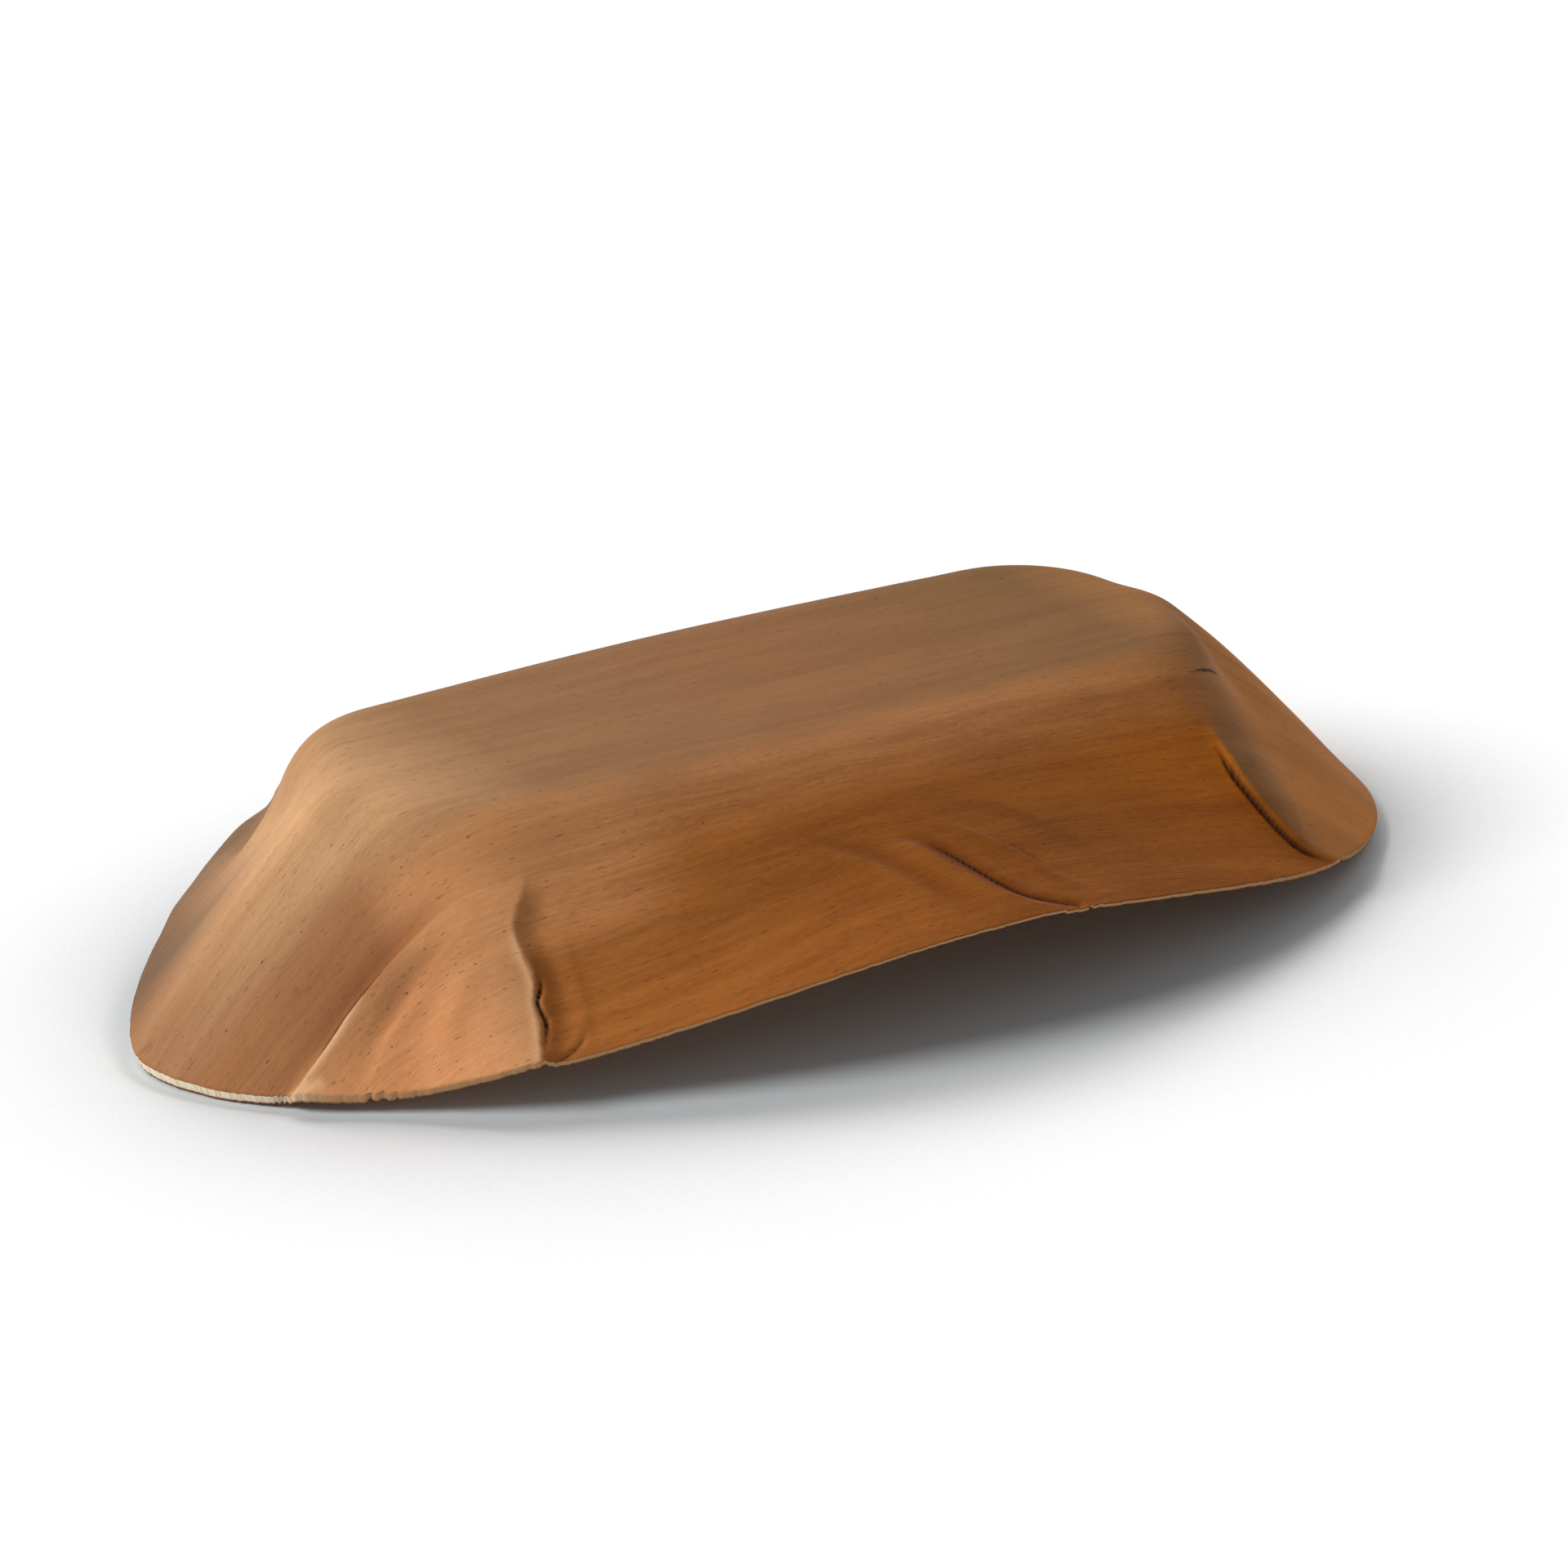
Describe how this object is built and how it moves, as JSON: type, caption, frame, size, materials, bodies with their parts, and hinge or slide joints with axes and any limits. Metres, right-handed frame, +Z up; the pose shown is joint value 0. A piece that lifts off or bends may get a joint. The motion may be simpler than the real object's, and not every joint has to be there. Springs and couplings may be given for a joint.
{
  "type": "palm leaf dish",
  "caption": "Shallow boat-shaped dish pressed from one palm leaf sheath, with a flat base, sloping walls and an arched, trimmed rim.",
  "frame": {"origin": "on the surface the dish lies on when it is face down, below the middle of its outline", "axes": "+X along the leaf's fibres, the dish's length; +Y across it towards the far long side; +Z up, from the open side to the outer face of the base"},
  "size_m": [0.24, 0.129, 0.0424],
  "materials": {
    "pressed_leaf": "uncoated pressed palm leaf, matt to faintly satin, with fine fibres along the length"
  },
  "bodies": {
    "root": {"pressed_leaf_dish": "pressed_leaf"}
  },
  "joints": []
}
